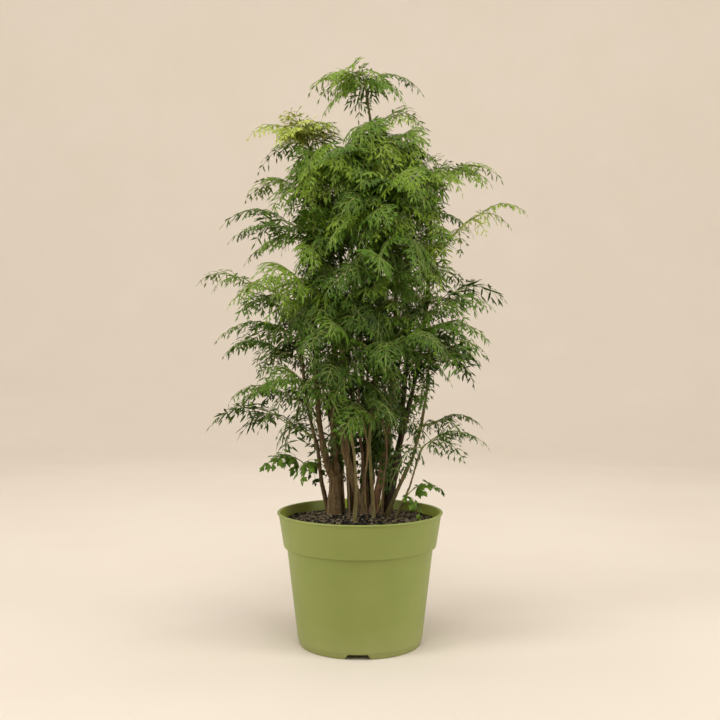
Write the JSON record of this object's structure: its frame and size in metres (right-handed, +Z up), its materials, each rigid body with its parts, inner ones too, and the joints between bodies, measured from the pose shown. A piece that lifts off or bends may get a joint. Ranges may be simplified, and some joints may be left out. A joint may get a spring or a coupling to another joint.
{
  "type": "potted ming aralia",
  "caption": "Bushy potted ming aralia with feathery, finely cut leaves on upright woody stems, in a round green nursery pot.",
  "frame": {"origin": "on the floor, on the pot's axis, at the centre of its foot", "axes": "+Z up through the plant, -Y towards the front, +X to the right of the front view"},
  "size_m": [0.4676, 0.3608, 0.8347],
  "materials": {
    "pot_plastic": "satin",
    "potting_mix": "rough, crumbly bark and peat",
    "bark": "rough bark",
    "foliage": "semi-matte leaf"
  },
  "bodies": {
    "root": {"leaf_spray_01": "foliage", "leaf_spray_02": "foliage", "leaf_spray_03": "foliage", "leaf_spray_04": "foliage", "leaf_spray_05": "foliage", "leaf_spray_06": "foliage", "leaf_spray_07": "foliage", "leaf_spray_08": "foliage", "leaf_spray_09": "foliage", "leaf_spray_10": "foliage", "leaf_spray_11": "foliage", "leaf_spray_12": "foliage", "leaf_spray_13": "foliage", "leaf_spray_14": "foliage", "leaf_spray_15": "foliage", "leaf_spray_16": "foliage", "leaf_spray_17": "foliage", "leaf_spray_18": "foliage", "leaf_spray_19": "foliage", "leaf_spray_20": "foliage", "leaf_spray_21": "foliage", "leaf_spray_22": "foliage", "leaf_spray_23": "foliage", "leaf_spray_24": "foliage", "leaf_spray_25": "foliage", "leaf_spray_26": "foliage", "leaf_spray_27": "foliage", "leaf_spray_28": "foliage", "leaf_spray_29": "foliage", "leaf_spray_30": "foliage", "leaf_spray_31": "foliage", "leaf_spray_32": "foliage", "leaf_spray_33": "foliage", "leaf_spray_34": "foliage", "leaf_spray_35": "foliage", "leaf_spray_36": "foliage", "leaf_spray_37": "foliage", "leaf_spray_38": "foliage", "leaf_spray_39": "foliage", "leaf_spray_40": "foliage", "leaf_spray_41": "foliage", "leaf_spray_42": "foliage", "leaf_spray_43": "foliage", "leaf_spray_44": "foliage", "leaf_spray_45": "foliage", "leaf_spray_46": "foliage", "leaf_spray_47": "foliage", "pot": "pot_plastic", "soil": "potting_mix", "stem_back_centre": "bark", "stem_back_left": "bark", "stem_centre_left": "bark", "stem_centre_right": "bark", "stem_front": "bark", "stem_front_green": "bark", "stem_left_outer": "bark", "stem_right_outer": "bark", "stem_right_thin": "bark", "trunk_left": "bark", "trunk_right": "bark"}
  },
  "joints": []
}
